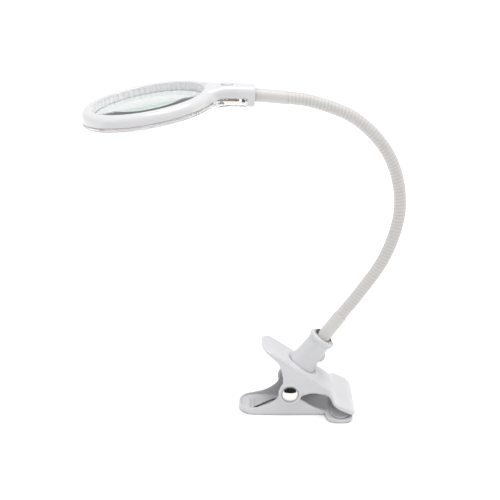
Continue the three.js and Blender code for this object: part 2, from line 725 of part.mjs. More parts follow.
axle.add(pivotPin(), pivotCap('pivot_cap_front', -1), pivotCap('pivot_cap_rear', 1));
leverFrame.add(
  upperLever(),
  upperPad(),
  upperRivet(),
  armPost(),
  dcInlet(),
  postScrew('post_screw_front', -SCREW_SPACING),
  postScrew('post_screw_rear', SCREW_SPACING),
  retainingClip(),
);
ringFrame.add(headShell(), ledCover(), lens(), lensBezel(), ledBoard());
for (let i = 0; i < LED_COUNT; i += 1) ringFrame.add(led(i));
neckFrame.add(switchBoard(), switchBody(), switchButton(), neckScrew());
fromAxle.add(
  lowerLever(),
  axle,
  torsionSpring(),
  lowerPad(),
  lowerRivet(),
  leverFrame,
  ringFrame,
  neckFrame,
  sleeve('lower_sleeve', LOWER_SLEEVE_RADIUS, 0.5, firstLink),
  sleeve('upper_sleeve', UPPER_SLEEVE_RADIUS, lastLink, routeLength - 1),
);
for (let i = 0; i < LINK_COUNT; i += 1) fromAxle.add(armLink(i), armLead(i));

export default lamp;
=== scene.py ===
"""Looks for the clip-on magnifying lamp: smooth moulded shells, a wound gooseneck, a clear lens.

Shapes are described in millimetres, each in the frame of the sub-part it belongs to, and placed in
the row frame in metres. Moulded pieces are grown from distance fields: a field is negative inside.
"""

import json
import math

import bmesh
import bpy
import numpy as np
from mathutils import Matrix, Vector


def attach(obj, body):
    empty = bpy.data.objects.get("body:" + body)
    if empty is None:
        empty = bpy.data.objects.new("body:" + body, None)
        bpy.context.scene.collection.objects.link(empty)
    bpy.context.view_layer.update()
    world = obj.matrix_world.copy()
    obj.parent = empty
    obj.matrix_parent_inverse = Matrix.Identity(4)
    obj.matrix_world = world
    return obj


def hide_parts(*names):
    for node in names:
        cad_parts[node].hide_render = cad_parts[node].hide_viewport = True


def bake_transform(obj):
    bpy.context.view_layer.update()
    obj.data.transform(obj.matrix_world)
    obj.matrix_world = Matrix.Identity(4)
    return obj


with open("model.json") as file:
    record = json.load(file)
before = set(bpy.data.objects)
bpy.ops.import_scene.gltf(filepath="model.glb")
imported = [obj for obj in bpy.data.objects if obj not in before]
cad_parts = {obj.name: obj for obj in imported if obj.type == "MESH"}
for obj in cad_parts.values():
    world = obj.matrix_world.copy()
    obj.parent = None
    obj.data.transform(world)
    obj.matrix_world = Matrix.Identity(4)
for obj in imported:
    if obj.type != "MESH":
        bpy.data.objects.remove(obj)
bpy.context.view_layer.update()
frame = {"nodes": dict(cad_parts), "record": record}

MM = 0.001


# ---------------------------------------------------------------- where the sub-parts stand


def local_frame(x, z, turn):
    """A frame at that place (mm), turned about Y by that many degrees."""
    return Matrix.Translation((x * MM, 0, z * MM)) @ Matrix.Rotation(math.radians(turn), 4, "Y")


PIVOT_X = 35.9  # clamp axle
PIVOT_Z = 20.7
LEVER_ANGLE = 35.5
RING_TILT = 9.4
NECK_SLOPE = 1.5
RING_CENTRE = np.array([PIVOT_X - 110.1, 260.4])
NECK_END = np.array([PIVOT_X - 29.0, 268.3])


def lever_point(along, above):
    """A place in the upper lever's frame, as the row frame's X and Z (mm)."""
    slope = math.radians(LEVER_ANGLE)
    return np.array([
        PIVOT_X + along * math.cos(slope) + above * math.sin(slope),
        PIVOT_Z - along * math.sin(slope) + above * math.cos(slope),
    ])


BASE = local_frame(PIVOT_X, 0, 0)
AXLE = local_frame(PIVOT_X, PIVOT_Z, 0)
LEVER = local_frame(PIVOT_X, PIVOT_Z, LEVER_ANGLE)
RING = local_frame(*RING_CENTRE, -RING_TILT)
NECK = local_frame(*NECK_END, NECK_SLOPE)
ROW = Matrix.Identity(4)


# ---------------------------------------------------------------- distance fields


def meet(a, b, r=0.0):
    """Inside both, with the edge between them rounded to radius r."""
    return np.minimum(np.maximum(a, b), -r) + np.hypot(np.maximum(a + r, 0), np.maximum(b + r, 0))


def join(a, b, r=0.0):
    """Inside either, with a fillet of radius r where they meet."""
    return np.maximum(np.minimum(a, b), r) - np.hypot(np.maximum(r - a, 0), np.maximum(r - b, 0))


def cut(a, b, r=0.0):
    """Inside a and outside b."""
    return meet(a, -b, r)


def between(value, low, high):
    """Inside the band from low to high."""
    return np.abs(value - (low + high) / 2) - (high - low) / 2


def ease(value, start, end):
    """0 at start, 1 at end, smooth between them."""
    t = np.clip((value - start) / (end - start), 0, 1)
    return t * t * (3 - 2 * t)


def rounded(corners, steps=6):
    """An outline's points. A corner is (u, v) or (u, v, r): r is how far its rounding reaches."""
    points = []
    for i, corner in enumerate(corners):
        here = np.array(corner[:2], float)
        before = np.array(corners[i - 1][:2], float) - here
        after = np.array(corners[(i + 1) % len(corners)][:2], float) - here
        lengths = np.hypot(*before), np.hypot(*after)
        reach = min(corner[2] if len(corner) > 2 else 0, 0.48 * min(lengths))
        if not reach:
            points.append(here)
            continue
        start = here + before / lengths[0] * reach
        end = here + after / lengths[1] * reach
        for t in np.linspace(0, 1, steps):
            points.append((1 - t) ** 2 * start + 2 * t * (1 - t) * here + t**2 * end)
    return np.array(points)


def outline(corners):
    """The distance field of a flat outline, as a function of its two coordinates."""
    points = rounded(corners)

    def distance(u, v):
        nearest = np.inf
        inside = False
        for (au, av), (bu, bv) in zip(points, np.roll(points, -1, axis=0)):
            du, dv = bu - au, bv - av
            t = np.clip(((u - au) * du + (v - av) * dv) / (du * du + dv * dv + 1e-12), 0, 1)
            nearest = np.minimum(nearest, (u - au - t * du) ** 2 + (v - av - t * dv) ** 2)
            if dv:
                crosses = ((av > v) != (bv > v)) & (u < du * (v - av) / dv + au)
                inside = inside ^ crosses
        return np.where(inside, -1, 1) * np.sqrt(nearest)

    return distance


# ---------------------------------------------------------------- mesh makers


def grow(field, low, high, cell):
    """The surface where the field is zero, as points (mm) and quads, on a grid of that cell size."""
    axes = [np.arange(a - 2 * cell, b + 3 * cell, cell) for a, b in zip(low, high)]
    grid = np.meshgrid(*axes, indexing="ij", sparse=True)
    value = np.broadcast_to(field(*grid), [len(a) for a in axes])
    inside = value < 0
    shape = np.array(value.shape) - 1

    def corner(array, offset):
        return array[tuple(slice(o, o + n) for o, n in zip(offset, shape))]

    offsets = [(i, j, k) for i in (0, 1) for j in (0, 1) for k in (0, 1)]
    filled = sum(corner(inside, o).astype(np.int8) for o in offsets)
    mixed = (filled > 0) & (filled < 8)
    cells = np.argwhere(mixed)
    number = np.full(mixed.shape, -1)
    number[mixed] = np.arange(len(cells))

    place = np.zeros((len(cells), 3))
    hits = np.zeros((len(cells), 1))
    for start in offsets:
        for axis in range(3):
            if start[axis]:
                continue
            a = value[tuple((cells + start).T)]
            b = value[tuple((cells + start + np.eye(3, dtype=int)[axis]).T)]
            crossed = (a < 0) != (b < 0)
            step = np.where(crossed, a / np.where(crossed, a - b, 1), 0)
            point = np.array(start) + step[:, None] * np.eye(3)[axis]
            place += np.where(crossed[:, None], point, 0)
            hits += crossed[:, None]
    points = (cells + place / hits) * cell + np.array([a[0] for a in axes])

    quads = []
    for axis in range(3):
        u, v = (axis + 1) % 3, (axis + 2) % 3
        lower = np.take(inside, range(shape[axis]), axis)
        upper = np.take(inside, range(1, shape[axis] + 1), axis)
        for leaving in (True, False):
            edges = np.argwhere((lower != upper) & (lower == leaving))
            edges = edges[(edges[:, u] > 0) & (edges[:, v] > 0)]
            edges = edges[(edges[:, u] < shape[u]) & (edges[:, v] < shape[v])]
            ring = []
            for du, dv in ((1, 1), (0, 1), (0, 0), (1, 0)):
                at = edges.copy()
                at[:, u] -= du
                at[:, v] -= dv
                ring.append(number[tuple(at.T)])
            quad = np.stack(ring if leaving else ring[::-1], axis=1)
            quads.append(quad)
    return settle(points, field, cell), np.concatenate(quads).tolist()


def settle(points, field, cell, rounds=3, probe=0.02):
    """Moves grown points onto the field's zero surface."""
    for _ in range(rounds):
        x, y, z = points.T
        value = field(x, y, z)
        slope = np.stack([
            field(x + probe, y, z) - field(x - probe, y, z),
            field(x, y + probe, z) - field(x, y - probe, z),
            field(x, y, z + probe) - field(x, y, z - probe),
        ], axis=1) / (2 * probe)
        size = np.maximum((slope**2).sum(1), 0.25)
        step = np.clip(value / size, -cell / 3, cell / 3)
        points = points - step[:, None] * slope
    return points


def lathe(profile, segments=96):
    """A closed profile of (radius, height) turned about the Z axis."""
    profile = np.asarray(profile, float)
    turns = 2 * np.pi * np.arange(segments) / segments
    points = [(r * math.cos(t), r * math.sin(t), h) for t in turns for r, h in profile]
    count = len(profile)
    faces = []
    for s in range(segments):
        here, there = s * count, ((s + 1) % segments) * count
        for i in range(count):
            j = (i + 1) % count
            faces.append((here + i, there + i, there + j, here + j))
    return points, faces


def sweep(centres, normals, sections):
    """A closed tube: at each centre, a section of (along the normal, along +Y) offsets."""
    points = []
    for centre, normal, section in zip(centres, normals, sections):
        for u, v in section:
            points.append((centre[0] + u * normal[0], v, centre[1] + u * normal[1]))
    count = len(sections[0])
    faces = [
        (s * count + i, s * count + (i + 1) % count,
         (s + 1) * count + (i + 1) % count, (s + 1) * count + i)
        for s in range(len(centres) - 1)
        for i in range(count)
    ]
    faces.append(tuple(reversed(range(count))))
    faces.append(tuple(range(len(points) - count, len(points))))
    return points, faces


def bevelled(corners, radius, segments=4):
    """A box from its low and high corners, with rounded edges, as points and faces."""
    low, high = (Vector(c) for c in corners)
    mesh = bpy.data.meshes.new("box")
    bm = bmesh.new()
    bmesh.ops.create_cube(bm, size=1)
    size = high - low
    for vertex in bm.verts:
        vertex.co = (low + high) / 2 + Vector(c * s for c, s in zip(vertex.co, size))
    bmesh.ops.bevel(bm, geom=bm.edges[:], offset=radius, segments=segments, affect="EDGES")
    bm.to_mesh(mesh)
    bm.free()
    points = [tuple(v.co) for v in mesh.vertices]
    faces = [tuple(p.vertices) for p in mesh.polygons]
    bpy.data.meshes.remove(mesh)
    return points, faces


def turned(shape, degrees):
    """The same points and faces, turned about the Z axis."""
    points, faces = shape
    turn = Matrix.Rotation(math.radians(degrees), 3, "Z")
    return [tuple(turn @ Vector(p)) for p in points], faces


def combined(*parts):
    """Several (points, faces) as one."""
    points, faces = [], []
    for more_points, more_faces in parts:
        start = len(points)
        points += [tuple(p) for p in more_points]
        faces += [tuple(i + start for i in face) for face in more_faces]
    return points, faces


def wire(path, radius, steps=6):
    """A round wire along a smooth line through the path's points (mm)."""
    curve = bpy.data.curves.new("wire", "CURVE")
    curve.dimensions = "3D"
    curve.bevel_depth = radius
    curve.bevel_resolution = 3
    curve.resolution_u = steps
    curve.use_fill_caps = True
    spline = curve.splines.new("NURBS")
    spline.points.add(len(path) - 1)
    for point, co in zip(spline.points, path):
        point.co = (*co, 1)
    spline.use_endpoint_u = True
    spline.order_u = 3
    obj = bpy.data.objects.new("wire", curve)
    bpy.context.scene.collection.objects.link(obj)
    bpy.context.view_layer.update()
    made = obj.evaluated_get(bpy.context.evaluated_depsgraph_get()).to_mesh()
    points = [tuple(v.co) for v in made.vertices]
    faces = [tuple(p.vertices) for p in made.polygons]
    bpy.data.objects.remove(obj)
    return points, faces


def show(name, shape, place, slot, stands_for=(), crease=40, finish=None):
    """Makes the piece from (points, faces) in a local frame, and hides the solids that it stands for."""
    points, faces = shape
    mesh = bpy.data.meshes.new(name)
    mesh.from_pydata((np.asarray(points, float) * MM).tolist(), [], faces)
    mesh.transform(place)
    mesh.shade_smooth()
    mesh.set_sharp_from_angle(angle=math.radians(crease))
    mesh.validate()
    obj = bpy.data.objects.new(name, mesh)
    bpy.context.scene.collection.objects.link(obj)
    mesh.materials.append(finish or MATERIALS[slot])
    if stands_for:
        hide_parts(*stands_for)
    return obj


def shifted(x, y, z):
    """A move by that many millimetres."""
    return Matrix.Translation(Vector((x, y, z)) * MM)


# ---------------------------------------------------------------- materials


class Finish:
    """A Principled material, with short ways to add procedural detail to it."""

    def __init__(self, name, color, roughness, **sockets):
        self.material = bpy.data.materials.new(name)
        self.material.use_nodes = True
        self.nodes = self.material.node_tree.nodes
        self.links = self.material.node_tree.links
        self.shader = self.nodes["Principled BSDF"]
        self.shader.inputs["Base Color"].default_value = (*color, 1)
        self.shader.inputs["Roughness"].default_value = roughness
        for socket, value in sockets.items():
            self.shader.inputs[socket.replace("_", " ")].default_value = value
        self.place = self.nodes.new("ShaderNodeTexCoord").outputs["Object"]

    def noise(self, scale, detail=3.0, stretch=(1, 1, 1)):
        """A cloudy pattern, drawn out along the axes by stretch."""
        mapping = self.nodes.new("ShaderNodeMapping")
        mapping.inputs["Scale"].default_value = stretch
        self.links.new(self.place, mapping.inputs["Vector"])
        texture = self.nodes.new("ShaderNodeTexNoise")
        texture.inputs["Scale"].default_value = scale
        texture.inputs["Detail"].default_value = detail
        self.links.new(mapping.outputs["Vector"], texture.inputs["Vector"])
        return texture.outputs["Fac"]

    def between(self, factor, low, high, start=0.3, end=0.7):
        """Spreads a factor that runs from start to end over low to high."""
        spread = self.nodes.new("ShaderNodeMapRange")
        spread.inputs["From Min"].default_value = start
        spread.inputs["From Max"].default_value = end
        spread.inputs["To Min"].default_value = low
        spread.inputs["To Max"].default_value = high
        self.links.new(factor, spread.inputs["Value"])
        return spread.outputs["Result"]

    def mix(self, factor, first, second):
        """From the first color to the second; each is a tuple or another node's output."""
        blend = self.nodes.new("ShaderNodeMix")
        blend.data_type = "RGBA"
        self.links.new(factor, blend.inputs["Factor"])
        for socket, color in zip((6, 7), (first, second)):
            if isinstance(color, tuple):
                blend.inputs[socket].default_value = (*color, 1)
            else:
                self.links.new(color, blend.inputs[socket])
        return blend.outputs[2]

    def color(self, output):
        self.links.new(output, self.shader.inputs["Base Color"])

    def roughness(self, output):
        self.links.new(output, self.shader.inputs["Roughness"])

    def bump(self, height, strength, distance):
        node = self.nodes.new("ShaderNodeBump")
        node.inputs["Strength"].default_value = strength
        node.inputs["Distance"].default_value = distance
        self.links.new(height, node.inputs["Height"])
        self.links.new(node.outputs["Normal"], self.shader.inputs["Normal"])


def moulded(name, color, roughness, grain=0.08, **sockets):
    """Moulded plastic: faint cloudiness, uneven polish and a fine orange-peel surface."""
    finish = Finish(name, color, roughness, **sockets)
    cloud = finish.noise(45, 2)
    deeper = tuple(0.96 * c for c in color)
    finish.color(finish.mix(finish.between(cloud, 0, 1), deeper, color))
    finish.roughness(finish.between(finish.noise(160, 4), roughness - 0.05, roughness + 0.07))
    finish.bump(finish.noise(1400, 2), grain, 0.0001)
    return finish.material


def metal(name, color, roughness, stretch=(1, 1, 1), scale=900, scratch=0.1):
    """Bare or plated metal, with fine marks drawn out along one axis."""
    finish = Finish(name, color, roughness, Metallic=1.0)
    marks = finish.noise(scale, 4, stretch)
    deeper = tuple(0.8 * c for c in color)
    finish.color(finish.mix(finish.between(marks, 0, 1), deeper, color))
    finish.roughness(finish.between(marks, roughness * 0.7, roughness * 1.4))
    finish.bump(marks, scratch, 0.00005)
    return finish.material


def arm_paint():
    """Warm white paint on the wound arm, with painted shade that darkens it down in the grooves."""
    color = (0.515, 0.50, 0.485)
    finish = Finish("arm_coat", color, 0.42)
    groove_shade = finish.nodes.new("ShaderNodeAttribute")
    groove_shade.attribute_name = "groove"
    cloud = finish.between(finish.noise(70, 3), 0, 1)
    plain = finish.mix(cloud, (0.495, 0.48, 0.465), color)
    # Painted shade: down in the grooves between windings the colour darkens to this grey.
    finish.color(finish.mix(groove_shade.outputs["Fac"], plain, (0.40, 0.385, 0.37)))
    finish.roughness(finish.between(finish.noise(240, 4), 0.36, 0.5))
    finish.bump(finish.noise(1200, 2), 0.08, 0.0001)
    return finish.material


def clear_plastic():
    """The cover: etched to soften the LEDs' light under the ring, polished along the neck."""
    finish = Finish("clear_plastic", (0.84, 0.84, 0.855), 0.05, IOR=1.49)
    split = finish.nodes.new("ShaderNodeSeparateXYZ")
    finish.links.new(finish.place, split.inputs["Vector"])
    ring_edge, neck_start = -0.030, -0.018
    polished = finish.between(split.outputs["X"], 0, 1, ring_edge, neck_start)
    grain = finish.between(finish.noise(120, 3), 0.04, 0.14)
    finish.roughness(grain)
    finish.color(finish.mix(polished, (0.84, 0.84, 0.855), (0.95, 0.95, 0.96)))
    clearness = finish.between(polished, 0.78, 0.97, 0, 1)
    finish.links.new(clearness, finish.shader.inputs["Transmission Weight"])
    finish.bump(finish.noise(700, 2), 0.05, 0.0001)
    return finish.material


def lens_acrylic():
    """Clear acrylic that takes a little green out at its edge, where light runs far through it."""
    finish = Finish("lens_clear", (0.64, 0.655, 0.66), 0.0, IOR=1.49)
    finish.shader.inputs["Transmission Weight"].default_value = 1.0
    finish.roughness(finish.between(finish.noise(90, 2), 0.0, 0.01))
    tint = finish.nodes.new("ShaderNodeVolumeAbsorption")
    tint.inputs["Color"].default_value = (0.55, 1.0, 0.78, 1)
    tint.inputs["Density"].default_value = 7
    output = finish.nodes["Material Output"]
    finish.links.new(tint.outputs["Volume"], output.inputs["Volume"])
    return finish.material


def circuit_board():
    """Green mask with copper tracks on the faces, bare brown laminate on the edges."""
    finish = Finish("board", (0.05, 0.16, 0.08), 0.4)
    tracks = finish.nodes.new("ShaderNodeTexBrick")
    tracks.inputs["Scale"].default_value = 260
    tracks.inputs["Color1"].default_value = (0.04, 0.17, 0.08, 1)
    tracks.inputs["Color2"].default_value = (0.05, 0.20, 0.10, 1)
    tracks.inputs["Mortar"].default_value = (0.30, 0.34, 0.16, 1)
    tracks.inputs["Mortar Size"].default_value = 0.03
    finish.links.new(finish.place, tracks.inputs["Vector"])
    normal = finish.nodes.new("ShaderNodeNewGeometry")
    split = finish.nodes.new("ShaderNodeSeparateXYZ")
    finish.links.new(normal.outputs["Normal"], split.inputs["Vector"])
    steep = finish.nodes.new("ShaderNodeMath")
    steep.operation = "ABSOLUTE"
    finish.links.new(split.outputs["Z"], steep.inputs[0])
    fibres = finish.between(finish.noise(500, 3), 0, 1)
    laminate = finish.mix(fibres, (0.34, 0.17, 0.07), (0.42, 0.23, 0.1))
    face = finish.between(steep.outputs[0], 0, 1)
    finish.color(finish.mix(face, laminate, tracks.outputs["Color"]))
    finish.bump(tracks.outputs["Fac"], 0.1, 0.0001)
    return finish.material


def phosphor():
    """The yellow window of an LED that is off."""
    finish = Finish("led", (0.93, 0.86, 0.42), 0.35)
    grains = finish.between(finish.noise(2500, 2), 0, 1)
    finish.color(finish.mix(grains, (0.9, 0.8, 0.32), (0.96, 0.9, 0.55)))
    finish.bump(finish.noise(3000, 2), 0.1, 0.00005)
    return finish.material


MATERIALS = {
    "gloss_white": moulded("gloss_white", (0.57, 0.57, 0.58), 0.22, Coat_Weight=0.3),
    "clamp_white": moulded("clamp_white", (0.52, 0.52, 0.535), 0.36),
    "arm_coat": arm_paint(),
    "chrome": metal("chrome", (0.86, 0.82, 0.79), 0.05, scale=300, scratch=0.02),
    "steel": metal("steel", (0.55, 0.55, 0.57), 0.28, stretch=(1, 1, 6)),
    "dark_steel": metal("dark_steel", (0.10, 0.10, 0.11), 0.35),
    "grip_rubber": moulded("grip_rubber", (0.55, 0.55, 0.56), 0.45, grain=0.3),
    "clear_plastic": clear_plastic(),
    "lens_clear": lens_acrylic(),
    "board": circuit_board(),
    "led": phosphor(),
    "black_plastic": moulded("black_plastic", (0.015, 0.015, 0.017), 0.4, grain=0.2),
    "lead_jacket": moulded("lead_jacket", (0.03, 0.03, 0.033), 0.55, grain=0.3),
}
LED_BODY = moulded("led_body", (0.78, 0.77, 0.72), 0.45)
# Painted light: the bezel is the shell's white plastic, made much paler so that its shaded inner wall
# looks lit.
BEZEL_PAINTED_LIGHT = moulded("bezel_painted_light", (0.95, 0.95, 0.96), 0.3)
SPRING_STEEL = metal("spring_steel", (0.20, 0.20, 0.21), 0.3)


# ---------------------------------------------------------------- clamp

LEVER_TOP = 22.0
LEVER_HALF = 17.0
JAW_HALF = 29.0
TROUGH_HALF = 15.0
TROUGH_FLOOR = 3.8
EAR_RADIUS = 9.4
CAP_RADIUS = 6.8
BORE_RADIUS = 3.3
LOWER_WALL = 1.8
POST_ALONG = -3.4
POST_FLANGE = 12.1
RIVET_X = 42.0


def lower_lever():
    """A trough with two ribs on its floor, ears at the axle, and the wide lower jaw."""
    side = outline([
        (-42.4, 5.4, 1), (-42.4, 2.8, 2), (-33, 0, 6), (27.5, 0), (31, 1.4), (31, 3),
        (18.6, 7.8, 4), (8.5, 15), (8.6, 22), (5, 28.6, 3), (-4, 29, 3), (-7.6, 26),
        (-9, 16.2, 4), (-18, 9, 8), (-30, 5.8, 5),
    ])
    trough = outline([
        (-43, 60), (-43, 4.6), (-34, TROUGH_FLOOR, 3), (20, TROUGH_FLOOR), (34, 2.6), (34, 60),
    ])

    def plan(inset):
        half = TROUGH_HALF - inset
        return outline([(-42.4 + inset, -half, 14), (32, -half), (32, half), (-42.4 + inset, half, 14)])

    outside, inside = plan(0), plan(LOWER_WALL)
    jaw_side = outline([
        (25, 0), (29, 1.6), (34.5, 0.6, 2), (39, 0), (45.5, 0), (51.6, 2.4, 1), (51.4, 4.8, 1),
        (45, 2.9, 3), (39, 2.9, 3), (33, 4.2, 2), (25, 2.4),
    ])
    jaw_plan = outline([
        (24, -14), (28.4, -14, 1), (31.5, -JAW_HALF, 8), (52, -JAW_HALF, 7),
        (52, JAW_HALF, 7), (31.5, JAW_HALF, 8), (28.4, 14, 1), (24, 14),
    ])
    ribs_middle = -31.4

    def field(x, y, z):
        walls = meet(side(x, z), outside(x, y), 1.0)
        hollow = meet(trough(x, z), inside(x, y), 1.2)
        jaw = meet(jaw_side(x, z), jaw_plan(x, y), 1.0)
        ribs = np.maximum(between(np.abs(x - ribs_middle), 1.1, 1.8), between(y, -11, 6))
        ribs = np.maximum(ribs, between(z, TROUGH_FLOOR - 0.8, TROUGH_FLOOR + 1.2))
        body = join(cut(walls, hollow, 0.5), jaw, 1.0)
        body = join(body, ribs, 0.2)
        body = cut(body, np.hypot(x, z - PIVOT_Z) - BORE_RADIUS)
        return np.maximum(body, -z)

    piece = show("lower_lever_shell", grow(field, (-42.4, -29, 0), (52, 29, 29), 0.6), BASE,
                 "clamp_white", ["lower_lever"])
    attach(piece, "lower_clamp")


def upper_lever():
    """An inverted channel with a dished thumb pad, a raised seat for the post, and the upper jaw."""
    side = outline([
        (-43.4, 18.2, 1), (-41.5, 20.2, 2), (-34, LEVER_TOP, 6), (26, LEVER_TOP, 6), (33, 20, 5),
        (46, 21.9, 6), (52.6, 20.4, 2), (51, 17.8, 2), (37, 15.8, 6), (31, 15.6, 2), (26, 15.7, 4),
        (15, 10.6, 5), (10.4, 4), (8, 0), (-8, 0), (-10.6, 4), (-15, 10, 5), (-24, 16.6, 8),
        (-40, 17.8, 2),
    ])

    outside = outline([
        (-43.4, -LEVER_HALF, 13), (28, -LEVER_HALF, 3), (31.5, -JAW_HALF, 9), (52.6, -JAW_HALF, 7),
        (52.6, JAW_HALF, 7), (31.5, JAW_HALF, 9), (28, LEVER_HALF, 3), (-43.4, LEVER_HALF, 13),
    ])
    channel = outline([(-41.5, -15.4, 12), (27, -15.4), (27, 15.4), (-41.5, 15.4, 12)])
    jaw_under = outline([(29, 18.2), (33, 17.8), (50, 19), (50, 0), (29, 0)])
    jaw_hollow = outline([(31, -27, 8), (50.2, -27, 7), (50.2, 27, 7), (31, 27, 8)])
    rim_radius, rim_thickness = 14.2, 2.3
    dish_middle, dish_radius, dish_depth = -28, 46, 1.4

    def field(x, y, z):
        body = meet(side(x, z), outside(x, y), 2.6)
        ear = meet(np.hypot(x, z) - EAR_RADIUS, np.abs(y) - LEVER_HALF - 1, 0.6)
        body = join(body, np.maximum(ear, 12 - np.abs(y)), 1.6)
        reach = np.hypot(x - POST_ALONG, y)
        rim = np.hypot(reach - rim_radius, (z - LEVER_TOP + 1.6) * 0.9) - rim_thickness
        body = join(body, rim, 1.6)
        above = z - (LEVER_TOP + dish_radius - dish_depth)
        dish = np.sqrt((x - dish_middle) ** 2 + y**2 + above**2) - dish_radius
        body = cut(body, dish, 3.0)
        seat = np.maximum(reach - POST_FLANGE - 0.1, LEVER_TOP - 0.1 - z)
        body = cut(body, seat, 0.2)
        hollow = meet(channel(x, y), np.maximum(z - 19.2, -25 - z), 1.0)
        body = cut(body, np.minimum(hollow, np.maximum(jaw_under(x, z), jaw_hollow(x, y))), 0.4)
        cap_seat = np.maximum(np.hypot(x, z) - CAP_RADIUS - 0.6, 16.8 - np.abs(y))
        return cut(body, np.minimum(cap_seat, np.hypot(x, z) - BORE_RADIUS), 0.2)

    piece = show("upper_lever_shell", grow(field, (-43.4, -29, -9.4), (52.6, 29, 23.4), 0.6), LEVER,
                 "clamp_white", ["upper_lever"])
    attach(piece, "upper_clamp")


def pivot_caps():
    """Polished domes, each with a thin rolled rim."""
    rim, slope, rise = 6.3, math.radians(42), 1.9
    seat = LEVER_HALF
    profile = [(0, seat), (rim - 0.3, seat), (rim, seat + 0.3), (rim, seat + 0.6), (rim - 0.2, seat + 0.8)]
    for t in np.linspace(1, 0, 16):
        lift = (math.cos(slope * t) - math.cos(slope)) / (1 - math.cos(slope))
        reach = (rim - 0.4) * math.sin(slope * t) / math.sin(slope)
        profile.append((reach, seat + 0.8 + rise * lift))
    for name, side in (("pivot_cap_front", -1), ("pivot_cap_rear", 1)):
        place = AXLE @ Vector((0, side, 0)).to_track_quat("Z", "Y").to_matrix().to_4x4()
        piece = show(name + "_dome", lathe(profile, 72), place, "chrome", [name], crease=50)
        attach(piece, "lower_clamp")


def torsion_spring():
    """The wire lies along the trough, winds round the axle and rises under the thumb pad."""
    half = 11.6
    coil = 5.6
    whole_turns = 5
    first, last = math.radians(-110), math.radians(whole_turns * 360 + 32)
    path = [(-29.5, -half, TROUGH_FLOOR + 1.3), (-20, -half, 9.8), (-13, -half, 13.2)]
    steps = 120
    for i in range(steps + 1):
        turn = first + (last - first) * i / steps
        along = -half + 2 * half * i / steps
        path.append((coil * math.cos(turn), along, PIVOT_Z + coil * math.sin(turn)))
    tip_x, tip_z = lever_point(-30, LEVER_TOP - 4.4)
    tip = np.array([tip_x - PIVOT_X, half, tip_z])
    leaving = np.array(path[-1])
    path += [tuple(leaving + (tip - leaving) * t) for t in (0.35, 0.7, 1)]
    piece = show("spring_wire", wire(path, 0.85), BASE, "steel", ["torsion_spring"], crease=60,
                 finish=SPRING_STEEL)
    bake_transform(piece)


def grip_pads():
    """Soft pads with shallow cross ridges, each with a hole for its rivet."""
    hole, head_seat, head_seat_top = 1.7, 3, 17.4
    lower_side = outline([(33.6, 4.7), (39, 3.2, 3), (45, 3.2, 3), (49.6, 4.6), (49.6, 5.6),
                          (45, 4.5, 3), (39, 4.5, 3), (33.6, 6)])
    upper_side = outline([(33.5, 16), (49, 16.8), (49, 18.4), (33.5, 17.4)])

    def pad_plan(start, end, half):
        return outline([(start, -half, 8), (end, -half, 7), (end, half, 7), (start, half, 8)])

    lower_plan = pad_plan(33.6, 49.6, JAW_HALF - 2.5)
    upper_plan = pad_plan(33.5, 49, JAW_HALF - 3)

    def ridges(y):
        return 0.12 - 0.12 * np.cos(2 * np.pi * y / 2.6)

    def lower(x, y, z):
        pad = meet(lower_side(x, z) + ridges(y), lower_plan(x, y), 0.5)
        return cut(pad, np.hypot(x - RIVET_X, y) - hole)

    def upper(x, y, z):
        pad = meet(upper_side(x, z) + ridges(y), upper_plan(x, y), 0.4)
        aside = np.hypot(x - RIVET_X, y)
        seat = np.maximum(aside - head_seat, z - head_seat_top)
        return cut(pad, np.minimum(aside - hole, seat))

    piece = show("lower_pad", grow(lower, (33, -27, 3), (50, 27, 6.2), 0.5), BASE,
                 "grip_rubber", ["lower_grip_pad"])
    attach(piece, "lower_clamp")
    piece = show("upper_pad", grow(upper, (33, -27, 15.8), (50, 27, 18.6), 0.5), LEVER,
                 "grip_rubber", ["upper_grip_pad"])
    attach(piece, "upper_clamp")


def rivets():
    """Low domed heads; the upper one lies in its pad, so that the jaws can close."""
    radius, head_radius, head_height = 1.4, 2.6, 0.55

    def profile(shank):
        head = [
            (head_radius * math.cos(t), shank + head_height * math.sin(t))
            for t in np.linspace(0, np.pi / 2, 7)
        ]
        return [(0, 0), (radius, 0), (radius, shank), *head[:-1], (0, shank + head_height)]

    low = shifted(RIVET_X, 0, 0.6)
    piece = show("lower_rivet", lathe(profile(4.2), 32), BASE @ low, "steel", ["lower_pad_rivet"])
    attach(piece, "lower_clamp")
    high = shifted(RIVET_X, 0, 19.9) @ Matrix.Rotation(math.pi, 4, "X")
    piece = show("upper_rivet", lathe(profile(2.7), 32), LEVER @ high, "steel", ["upper_pad_rivet"])
    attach(piece, "upper_clamp")


# ---------------------------------------------------------------- post

POST_TOP = 52.0
INLET_HEIGHT = 34.0
INLET_TURN = math.radians(35)


def arm_post():
    """A flared tube with a collar at its mouth and the inlet's housing on its side."""
    base = LEVER_TOP
    housing_radius, mouth_radius = 5.8, 4.3
    profile = outline([
        (9.4, base), (POST_FLANGE, base), (POST_FLANGE, base + 0.9), (11, 26.4, 3),
        (10.2, 32, 5), (9.7, 40, 5), (9.7, 47.2, 1), (11, 48.6, 1), (11, 51.2, 1), (10.2, 52, 0.6),
        (8.6, 52, 0.5), (8.0, 51.5, 0.5), (5.9, 51.5), (5.9, 41), (8, 39), (8, 32),
    ])

    def field(x, y, z):
        body = profile(np.hypot(x, y), z)
        out = x * math.cos(INLET_TURN) + y * math.sin(INLET_TURN)
        aside = np.hypot(y * math.cos(INLET_TURN) - x * math.sin(INLET_TURN), z - INLET_HEIGHT)
        housing = meet(aside - housing_radius, between(out, 8.4, 13.8), 0.9)
        body = join(body, housing, 1.0)
        return cut(body, np.maximum(aside - mouth_radius, -out), 0.3)

    place = LEVER @ shifted(POST_ALONG, 0, 0)
    piece = show("post_moulding", grow(field, (-12, -12, base), (14, 14, POST_TOP), 0.45), place,
                 "clamp_white", ["arm_post"])
    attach(piece, "upper_clamp")


